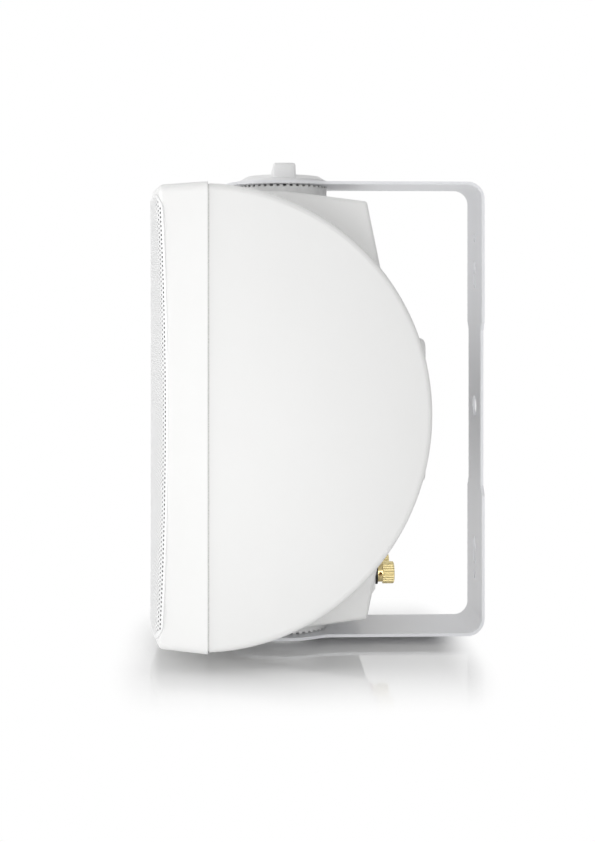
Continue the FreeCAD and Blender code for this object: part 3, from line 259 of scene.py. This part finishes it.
plasticLook = {"ior": 1.5, "grain": 1500.0, "slow": 22.0, "dark": 0.975, "rough": 0.36,
               "roughSpread": 0.16, "bump": 0.1, "depth": 0.00012}
satinLook = dict(plasticLook, grain=2200.0, rough=0.3, dark=0.8, depth=0.00006)
coatLook = {"ior": 1.5, "peel": 420.0, "grain": 2600.0, "grainShare": 0.25, "dark": 0.985,
            "rough": 0.3, "roughSpread": 0.12, "bump": 0.12, "depth": 0.00015}
goldLook = {"axis": "Y", "period": 0.00035, "wobble": 0.3, "cloud": 240.0, "dark": 0.9,
            "rough": 0.12, "roughSpread": 0.1, "bump": 0.12, "depth": 0.00005}
knurlLook = {"nut": "right_post_nut", "count": 30, "pitch": 0.0013, "cloud": 240.0, "dark": 0.94,
             "rough": 0.13, "roughSpread": 0.08, "bump": 0.45, "depth": 0.0002}
steelLook = {"axis": "Z", "period": 0.0006, "wobble": 2.0, "cloud": 160.0, "dark": 0.8,
             "rough": 0.28, "roughSpread": 0.2, "bump": 0.1, "depth": 0.00004}
windingLook = dict(goldLook, period=0.0007, bump=0.6, depth=0.0002, rough=0.25)
rubberLook = {"ior": 1.5, "pits": 1800.0, "from": 0.3, "to": 0.7, "dark": 0.75,
              "rough": 0.55, "roughSpread": 0.2, "bump": 0.2, "depth": 0.0001}
clothLook = {"period": 0.0009, "fuzz": 900.0, "rough": 0.85, "sheen": 0.3, "dark": 0.6,
             "bump": 0.6, "depth": 0.0002}
boardLook = {"coat": 0.6, "pitch": 0.009, "track": paint(62, 118, 70), "trackFrom": 0.8, "trackTo": 0.84,
             "grain": 900.0, "rough": 0.35, "roughSpread": 0.1, "bump": 0.2, "depth": 0.00004}

white = paint(245, 245, 244)
finishes = {
    "cabinetWhite": (mouldedPlastic, white, plasticLook, ["rear_cabinet"]),
    "frontWhite": (mouldedPlastic, white, plasticLook, ["front_baffle"]),
    "knobWhite": (mouldedPlastic, paint(243, 243, 243), plasticLook, ["upper_knob", "lower_knob"]),
    "bracketPaint": (powderCoat, paint(241, 242, 245), coatLook, ["bracket"]),
    "gasketRubber": (speckled, paint(238, 238, 236), rubberLook, ["seam_gasket"]),
    "surroundRubber": (speckled, paint(38, 38, 38), dict(rubberLook, rough=0.4),
                       ["woofer_surround", "woofer_gasket"]),
    "portBlack": (mouldedPlastic, paint(46, 46, 47), satinLook, ["port_tube"]),
    "washerBlack": (mouldedPlastic, paint(30, 30, 31), satinLook,
                    ["right_post_washer", "tweeter_faceplate"]),
    "washerRed": (mouldedPlastic, paint(190, 30, 32), dict(satinLook, rough=0.2), ["left_post_washer"]),
    "postGold": (platedMetal, paint(252, 230, 170), goldLook, ["left_post_stud", "right_post_stud"]),
    "nutGold": (knurledMetal, paint(254, 236, 178), knurlLook, ["left_post_nut", "right_post_nut"]),
    "brass": (platedMetal, paint(214, 178, 104), dict(goldLook, axis="Z"),
              ["upper_insert", "lower_insert"]),
    "zincSteel": (platedMetal, paint(196, 198, 200), steelLook,
                  ["upper_knob_stud", "lower_knob_stud", "post_hex_nuts", "solder_tags", "woofer_top_plate",
                   "woofer_yoke", "tweeter_top_plate", "tweeter_yoke"]),
    "blackScrew": (platedMetal, paint(62, 62, 64), dict(steelLook, axis="Y"),
                   ["cabinet_screws", "woofer_screws", "tweeter_screws", "crossover_screws"]),
    "basketPaint": (powderCoat, paint(34, 34, 36), dict(coatLook, rough=0.4), ["woofer_basket"]),
    "ferrite": (speckled, paint(74, 74, 76), dict(rubberLook, pits=700.0),
                ["woofer_magnet", "tweeter_magnet"]),
    "conePlastic": (mouldedPlastic, paint(40, 40, 42), dict(satinLook, slow=260.0, rough=0.34),
                    ["woofer_cone", "woofer_dust_cap"]),
    "spiderCloth": (wovenCloth, paint(196, 164, 96), clothLook, ["woofer_spider"]),
    "domeCloth": (wovenCloth, paint(44, 42, 44), dict(clothLook, period=0.0005),
                  ["tweeter_dome", "tweeter_surround"]),
    "copperWire": (platedMetal, paint(206, 122, 76), windingLook,
                   ["woofer_voice_coil", "tweeter_voice_coil", "crossover_inductor"]),
    "boardGreen": (circuitBoard, paint(34, 84, 48), boardLook, ["crossover_board"]),
    "filmYellow": (mouldedPlastic, paint(222, 184, 40), dict(satinLook, rough=0.18),
                   ["crossover_capacitor"]),
    "ceramic": (speckled, paint(226, 222, 210), dict(rubberLook, pits=500.0, dark=0.9),
                ["crossover_resistor"]),
}
materials = {}
for finishName, (make, colour, look, wearers) in finishes.items():
    materials[finishName] = make(finishName, colour, look)
    for wearer in wearers:
        nodes[wearer].material_slots[0].material = materials[finishName]
materials["grillePaint"] = powderCoat("grillePaint", paint(244, 244, 244), coatLook)
# dark floors for the grille's holes: painted shade in place of the hollow seen through them
materials["grilleHoleShade"] = wovenCloth("grilleHoleShade", paint(58, 58, 60), dict(clothLook, period=0.0004))
print("finishes: %d materials" % len(materials))


# Perforated grille: a bowed sheet that rolls over the frame's long edges; its holes end in dark
# cloth-textured floors, painted shade standing in for the hollow behind the sheet

grilleSheet = {"pitch": 0.00225, "holeRadius": 0.0007, "holeDepth": 0.00035, "margin": 0.0015,
               "sheet": 0.0005, "edge": 0.00025, "edgeSteps": 3, "seat": 0.0009, "foldInset": 0.0006,
               "corner": 0.009, "cornerSteps": 8, "bowMid": 0.0091, "bowEnd": 0.006,
               "rollStart": -0.0003, "rollRadius": 0.0105, "rollEnd": 52.0, "sideTaper": 0.276,
               "step": 0.003, "backRings": 10}


def roundedLoop(halfW, halfH, radius, like):
    # Points round a rectangle with round corners: straight sides in even steps, quarter turns between.
    # like = (steps on a side in x, steps on a side in z, steps in a corner) keeps inset loops matched.
    turns = np.linspace(0.0, math.pi / 2, like[2] + 1)
    loop = []
    for quarter, (sx, sz) in enumerate(((1, 1), (-1, 1), (-1, -1), (1, -1))):
        centre = np.array([sx * (halfW - radius), sz * (halfH - radius)])
        angle = turns + quarter * math.pi / 2
        loop.append(centre + radius * np.stack([np.cos(angle), np.sin(angle)], 1))
        count = like[0] if quarter % 2 == 0 else like[1]
        onward = np.array([-sx, sz]) if quarter % 2 == 0 else np.array([sx, -sz])
        target = onward * np.array([halfW - radius, halfH - radius])
        angleEnd = angle[-1]
        end = target + radius * np.array([math.cos(angleEnd), math.sin(angleEnd)])
        share = np.linspace(0.0, 1.0, count + 1)[1:-1, None]
        loop.append(loop[-1][-1] * (1 - share) + end * share)
    return np.concatenate(loop)


def holeField(spec, halfW, halfH):
    # Six-sided holes on a triangular grid: columns pitch * sqrt(3) / 2 apart, every other one half a
    # pitch up. A hole's corner k lies at 60 k degrees. Facing sides of two holes make a bar, and three
    # holes meet in a triangle.
    pitch = spec["pitch"]
    columnStep = pitch * math.sqrt(0.75)
    nx = 2 * int(halfW / columnStep) + 1
    nz = 2 * int(halfH / pitch) + 1
    i, j = np.meshgrid(np.arange(nx), np.arange(nz), indexing="ij")
    x = (i - (nx - 1) / 2) * columnStep
    z = (j - (nz - 1) / 2 + 0.5 * (i % 2) - 0.25) * pitch
    reach = np.stack([np.abs(x) - halfW + spec["corner"], np.abs(z) - halfH + spec["corner"]])
    outside = np.hypot(*np.maximum(reach, 0.0)) + np.minimum(reach.max(0), 0.0) - spec["corner"]
    kept = outside < -spec["margin"]
    number = np.full((nx + 2, nz + 2), -1)
    number[1:-1, 1:-1][kept] = np.arange(kept.sum())
    a = number[1:-1, 1:-1][kept]
    i = i[kept] + 1
    j = j[kept] + 1
    lift = (i + 1) % 2  # 1 in the columns that stand half a pitch up
    beside = [number[i + 1, j + lift], number[i, j + 1], number[i - 1, j + lift],
              number[i - 1, j + lift - 1], number[i, j - 1], number[i + 1, j + lift - 1]]
    turn = np.arange(6) * math.pi / 3
    radius = spec["holeRadius"]
    x = x[kept][:, None] + radius * np.cos(turn)
    z = z[kept][:, None] + radius * np.sin(turn)
    corners = np.stack([x, z], 2)
    bars = []
    for side, (p, q, r, s) in ((0, (0, 4, 3, 1)), (1, (1, 5, 4, 2)), (5, (5, 3, 2, 0))):
        b = beside[side]
        has = b >= 0
        bars.append(np.stack([6 * a + p, 6 * b + q, 6 * b + r, 6 * a + s], 1)[has])
    webs = []
    for first, second, (p, q, r) in ((0, 1, (1, 3, 5)), (5, 0, (0, 2, 4))):
        b, c = beside[first], beside[second]
        has = (b >= 0) & (c >= 0)
        webs.append(np.stack([6 * a + p, 6 * b + q, 6 * c + r], 1)[has])
    bars, webs = np.concatenate(bars), np.concatenate(webs)
    bare = [np.stack([6 * a + k, 6 * a + (k + 1) % 6], 1)[beside[k] < 0] for k in range(6)]
    ends = np.concatenate([bars[:, :2], bars[:, 2:], webs[:, :2], webs[:, 1:], webs[:, ::2]])
    ends, count = np.unique(np.sort(ends, 1), axis=0, return_counts=True)
    rim = np.concatenate(bare + [ends[count == 1]])
    return corners.reshape(-1, 2), bars, webs, rim


def fillBetween(points, edges):  # triangles that fill the flat strip between two outlines
    used = np.unique(edges)
    strip = bmesh.new()
    verts = [strip.verts.new((px, 0.0, pz)) for px, pz in points[used]]
    place = {int(old): new for new, old in enumerate(used)}
    made = [strip.edges.new((verts[place[int(p)]], verts[place[int(q)]])) for p, q in edges]
    strip.verts.index_update()
    bmesh.ops.triangle_fill(strip, edges=made, use_beauty=True)
    faces = np.array([[v.index for v in face.verts] for face in strip.faces])
    strip.free()
    return used[faces]


def bridge(first, second, count):  # quads between two loops of as many points
    k = np.arange(count)
    n = (k + 1) % count
    return np.stack([first + k, first + n, second + n, second + k], 1)


def loopEdges(start, count):
    k = np.arange(count)
    return np.stack([start + k, start + (k + 1) % count], 1)


def bowedSheet(spec, flat, depth, halfW, halfH, crown):
    # Lays flat points (s, z) on the sheet, depth below its outer face. bow(z) shrinks from bowMid to bowEnd
    # as z^2. In front: x = s, y = crown + bow (s / halfW)^2. Past the start of the roll, s runs round a
    # circle that goes on from the bow's slope:
    # x = x1 + r (sin a - sin a1), y = y1 + r (cos a1 - cos a), a = a1 + (s - x1) / r.
    s, z = np.abs(flat[:, 0]), flat[:, 1]
    bow = spec["bowMid"] - (spec["bowMid"] - spec["bowEnd"]) * (z / halfH) ** 2
    start = halfW + spec["rollStart"] - spec["sideTaper"] * (spec["bowMid"] - bow)
    angleAtStart = np.arctan(2 * bow * start / halfW ** 2)
    radius = spec["rollRadius"]
    past = np.maximum(s - start, 0.0)
    inFront = np.minimum(s, start)
    angle = np.arctan(2 * bow * inFront / halfW ** 2) + past / radius
    rolledX = np.where(past > 0, radius * (np.sin(angle) - np.sin(angleAtStart)), 0.0)
    rolledY = np.where(past > 0, radius * (np.cos(angleAtStart) - np.cos(angle)), 0.0)
    x = inFront + rolledX
    y = crown + bow * (inFront / halfW) ** 2 + rolledY
    return np.stack([np.sign(flat[:, 0]) * (x - depth * np.sin(angle)), y + depth * np.cos(angle), z], 1)


def makeGrille(spec):
    low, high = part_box("grille")
    halfW, halfH = high.x, high.z
    startAngle = math.atan(2 * spec["bowMid"] * (halfW + spec["rollStart"]) / halfW ** 2)
    halfFlat = halfW + spec["rollStart"] + spec["rollRadius"] * (math.radians(spec["rollEnd"]) - startAngle)
    like = (int(2 * halfFlat / spec["step"]), int(2 * halfH / spec["step"]), spec["cornerSteps"])

    def loop(inset):
        return roundedLoop(halfFlat - inset, halfH - inset, spec["corner"] - inset, like)

    def lay(flat, depth):
        return bowedSheet(spec, flat, depth, halfW, halfH, low.y)

    def fold(inset):  # the rim: folded back into the recess at both ends, seated on the frame at the sides
        flat = loop(inset)
        folded = lay(flat, 0.0)
        folded[:, 1] = high.y
        deep = np.abs(flat[:, :1]) < halfW - spec["foldInset"]
        return np.where(deep, folded, lay(flat, spec["sheet"] + spec["seat"]))

    holes, bars, webs, rim = holeField(spec, halfFlat, halfH)
    size = len(holes)
    turns = np.linspace(0.0, math.pi / 2, spec["edgeSteps"] + 1)
    insets = spec["edge"] * (1 - np.sin(turns))
    drops = spec["edge"] * (1 - np.cos(turns))
    rings = [lay(loop(inset), drop) for inset, drop in zip(insets, drops)]
    rings += [fold(0.0), fold(spec["sheet"])]
    inner = loop(spec["sheet"])
    shares = 1 - np.arange(spec["backRings"]) / spec["backRings"]
    rings += [lay(inner * share, spec["sheet"]) for share in shares]
    count = len(inner)
    starts = 2 * size + count * np.arange(len(rings))
    centre = np.array([[0.0, low.y + spec["sheet"], 0.0]])
    points = np.concatenate([lay(holes, 0.0), lay(holes, spec["holeDepth"])] + rings + [centre])
    quads = [bars] + [bridge(first, second, count) for first, second in zip(starts, starts[1:])]
    around = np.arange(size)
    onward = around - around % 6 + (around + 1) % 6
    quads.append(np.stack([around, onward, onward + size, around + size], 1))
    flatRim = np.concatenate([holes, holes, loop(insets[0])])
    strip = fillBetween(flatRim, np.concatenate([rim, loopEdges(starts[0], count)]))
    back = loopEdges(starts[-1], count)
    fan = np.column_stack([back, np.full(count, len(points) - 1)])
    # the floors that close the holes at holeDepth take the second, dark material: painted shade, not a real
    # backing
    floors = (size + around).reshape(-1, 6)
    painted = np.concatenate(quads).tolist() + np.concatenate([webs, strip, fan]).tolist()
    faces = painted + floors.tolist()
    mesh = bpy.data.meshes.new("grille_sheet")
    mesh.from_pydata(points.tolist(), [], faces)
    solid = bmesh.new()
    solid.from_mesh(mesh)
    bmesh.ops.recalc_face_normals(solid, faces=solid.faces)
    solid.to_mesh(mesh)
    solid.free()
    mesh.shade_smooth()
    mesh.set_sharp_from_angle(angle=sharpAngle)
    mesh.materials.append(materials["grillePaint"])
    mesh.materials.append(materials["grilleHoleShade"])
    mesh.polygons.foreach_set("material_index", (np.arange(len(faces)) >= len(painted)).astype(np.int32))
    sheet = bpy.data.objects.new("grille_sheet", mesh)
    scene.collection.objects.link(sheet)
    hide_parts("grille")
    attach(sheet, "speaker")
    print("grille: %d holes, %d triangles" % (size // 6, sum(len(f) - 2 for f in faces)))


makeGrille(grilleSheet)


# The drivers' flexible rings, remade as smooth meshes; the span from the fixed outer lip to the inner lip
# is worked out but not applied, so nothing moves them

flexRings = {
    "woofer_surround": {"joint": "woofer_travel", "slot": "surround_rubber",
                        "fixedLip": 0.0045, "movingLip": 0.004},
    "woofer_spider": {"joint": "woofer_travel", "slot": "spider_cloth",
                      "fixedLip": 0.0061, "movingLip": 0.004},
    "tweeter_surround": {"joint": "tweeter_travel", "slot": "dome_cloth",
                         "fixedLip": 0.00245, "movingLip": 0.0, "foldAt": 0.00036},
}
mergeGap = 1e-7


def addFoldLoop(merged, axisX, axisZ, foldAt):  # a loop of points, foldAt from a flat ring's inner edge
    reach = {vert: math.hypot(vert.co.x - axisX, vert.co.z - axisZ) for vert in merged.verts}
    foldRadius = min(reach.values()) + foldAt
    across = [edge for edge in merged.edges
              if abs(reach[edge.verts[0]] - reach[edge.verts[1]]) > foldAt]
    made = bmesh.ops.subdivide_edges(merged, edges=across, cuts=1)["geom_inner"]
    for vert in [part for part in made if isinstance(part, bmesh.types.BMVert)]:
        scale = foldRadius / math.hypot(vert.co.x - axisX, vert.co.z - axisZ)
        vert.co.x = axisX + (vert.co.x - axisX) * scale
        vert.co.z = axisZ + (vert.co.z - axisZ) * scale


def makeFlexRing(name, spec):
    # The solid's own form, merged and smooth-shaded; its bend between the two bodies is computed as share
    # but not applied.
    joint = next(j for j in frame["joints"] if j["name"] == spec["joint"])
    axisX, height, axisZ = joint["pos_m"]
    mesh = nodes[name].data.copy()
    mesh.name = name + "_ring"
    mesh.materials.clear()
    mesh.materials.append(nodes[name].material_slots[0].material)
    merged = bmesh.new()
    merged.from_mesh(mesh)
    bmesh.ops.remove_doubles(merged, verts=merged.verts, dist=mergeGap)
    if "foldAt" in spec:
        addFoldLoop(merged, axisX, axisZ, spec["foldAt"])
    merged.to_mesh(mesh)
    merged.free()
    mesh.shade_smooth()
    mesh.set_sharp_from_angle(angle=sharpAngle)
    ring = bpy.data.objects.new(mesh.name, mesh)
    scene.collection.objects.link(ring)
    points = np.array([vertex.co for vertex in mesh.vertices])
    reach = np.hypot(points[:, 0] - axisX, points[:, 2] - axisZ)
    outer = float(reach.max()) - spec["fixedLip"]
    inner = float(reach.min()) + spec["movingLip"]
    start = (axisX + outer, height, axisZ)
    end = (axisX + inner, height, axisZ)
    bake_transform(ring)
    share = np.clip((outer - reach) / (outer - inner), 0.0, 1.0)
    share = share ** 2 * (3 - 2 * share)
    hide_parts(name)


for ringName, ringSpec in flexRings.items():
    makeFlexRing(ringName, ringSpec)
print("rings: %d flexing" % len(flexRings))


# Floor, light and camera

stageSet = {"ambient": 0.46, "frontLean": 0.6, "floorHalf": 8.0, "floorTone": 0.97, "floorIor": 1.9,
            "floorRough": 0.05, "floorRoughSpread": 0.03, "floorCloud": 6.0,
            "shadowMiddle": (0.03, -0.1025), "shadowHalf": (0.03, 0.0725), "shadowFade": (0.1, 0.028)}


def seenRay(tree):  # 1 for what the camera sees, straight or by reflection, else 0
    path = tree.nodes.new("ShaderNodeLightPath")
    seen = Sock(tree, path.outputs["Is Camera Ray"]) + Sock(tree, path.outputs["Is Glossy Ray"])
    seen = seen + Sock(tree, path.outputs["Is Transmission Ray"])
    return seen.maths("MINIMUM", seen, 1.0)


def makeFloor(spec):  # glossy white floor under the object, plain white outside its shadow
    half = spec["floorHalf"]
    bottom = cadBox[0].z
    corners = [(-half, -half, bottom), (half, -half, bottom), (half, half, bottom), (-half, half, bottom)]
    mesh = bpy.data.meshes.new("floor")
    mesh.from_pydata(corners, [], [(0, 1, 2, 3)])
    tone = spec["floorTone"]
    material, shader, place = newMaterial("floorWhite", {"Base Color": (tone, tone, tone, 1.0),
                                                         "IOR": spec["floorIor"]})
    cloud = place.noise(spec["floorCloud"])
    feed(material, shader, {"Roughness": spec["floorRough"] + spec["floorRoughSpread"] * cloud})
    tree = material.node_tree
    away = place.vector("ABSOLUTE", place.vector("SUBTRACT", place, (*spec["shadowMiddle"], bottom)))
    away = place.vector("MAXIMUM", place.vector("SUBTRACT", away, (*spec["shadowHalf"], 0.0)))
    away = place.vector("DIVIDE", away, (*spec["shadowFade"], 1.0))
    away = place.node("VectorMath", {"operation": "LENGTH"}, {0: away}, "Value")
    far = place.node("MapRange", {"interpolation_type": "SMOOTHSTEP"}, {"Value": away})
    plain = place.node("Emission", {}, {"Color": (1.0, 1.0, 1.0, 1.0)})
    glossy = Sock(tree, shader.outputs[0])
    mixed = place.node("MixShader", {}, {0: far * seenRay(tree), 1: glossy, 2: plain})
    join(tree, mixed, tree.nodes["Material Output"].inputs["Surface"])
    mesh.materials.append(material)
    floor = bpy.data.objects.new("floor", mesh)
    scene.collection.objects.link(floor)


def makeWorld(spec):  # white to the eye and in reflections, softer as a light, stronger from the front
    world = bpy.data.worlds.new("studio")
    scene.world = world
    world.use_nodes = True
    tree = world.node_tree
    background = tree.nodes["Background"]
    background.inputs["Color"].default_value = (1.0, 1.0, 1.0, 1.0)
    way = Sock(tree, tree.nodes.new("ShaderNodeTexCoord").outputs["Generated"])
    ahead = way.node("VectorMath", {"operation": "DOT_PRODUCT"}, {0: way, 1: (0.0, -1.0, 0.0)}, "Value")
    seen = seenRay(tree)
    strength = seen + (1.0 - seen) * (spec["ambient"] * (1.0 + spec["frontLean"] * ahead))
    join(tree, strength, background.inputs["Strength"])


lamps = {
    "key": {"place": (0.62, -0.27, 0.04), "wide": 0.3, "tall": 0.32, "watts": 0.45},
    "front": {"place": (0.25, -1.1, 0.05), "wide": 0.6, "tall": 0.3, "watts": 2.6},
    "fill": {"place": (1.0, 0.1, 0.25), "wide": 0.5, "tall": 0.3, "watts": 0.8},
    "low": {"place": (0.45, -0.05, -0.09), "wide": 0.3, "tall": 0.06, "watts": 0.22},
    "top": {"place": (-0.2, -0.2, 1.3), "wide": 1.0, "tall": 1.0, "watts": 2.6},
}


def aim(thing, place, target):
    way = np.array(target) - np.array(place)
    thing.location = place
    tilt = math.atan2(math.hypot(way[0], way[1]), -way[2])
    thing.rotation_euler = (tilt, 0.0, math.atan2(-way[0], way[1]))


def makeLamps(target):
    for name, spec in lamps.items():
        light = bpy.data.lights.new(name, "AREA")
        light.shape = "RECTANGLE"
        light.size = spec["wide"]
        light.size_y = spec["tall"]
        light.energy = spec["watts"]
        lamp = bpy.data.objects.new(name, light)
        lamp.visible_camera = False
        aim(lamp, spec["place"], target)
        scene.collection.objects.link(lamp)


photoView = {"focalPixels": 1420.0, "longSide": 842.0, "sensor": 36.0, "distance": 0.8,
             "eyeHeight": 0.059, "yaw": 2.0, "shiftX": 14.5, "shiftY": -119.6}


def makeCamera(spec, pivot):  # level camera, turned a little towards the front about the pivot
    data = bpy.data.cameras.new("camera")
    data.sensor_width = spec["sensor"]
    data.lens = spec["sensor"] * spec["focalPixels"] / spec["longSide"]
    data.shift_x = spec["shiftX"] / spec["longSide"]
    data.shift_y = spec["shiftY"] / spec["longSide"]
    camera = bpy.data.objects.new("camera", data)
    yaw = math.radians(spec["yaw"])
    camera.location = (pivot[0] + spec["distance"] * math.cos(yaw),
                       pivot[1] - spec["distance"] * math.sin(yaw), spec["eyeHeight"])
    camera.rotation_euler = (math.pi / 2, 0.0, math.pi / 2 - yaw)
    scene.collection.objects.link(camera)
    scene.camera = camera


swivel = next(j for j in frame["joints"] if j["name"] == "cabinet_swivel")
makeFloor(stageSet)
makeWorld(stageSet)
makeLamps((0.0, swivel["pos_m"][1], 0.0))
makeCamera(photoView, swivel["pos_m"])
print("stage: floor, %d lamps, camera" % len(lamps))
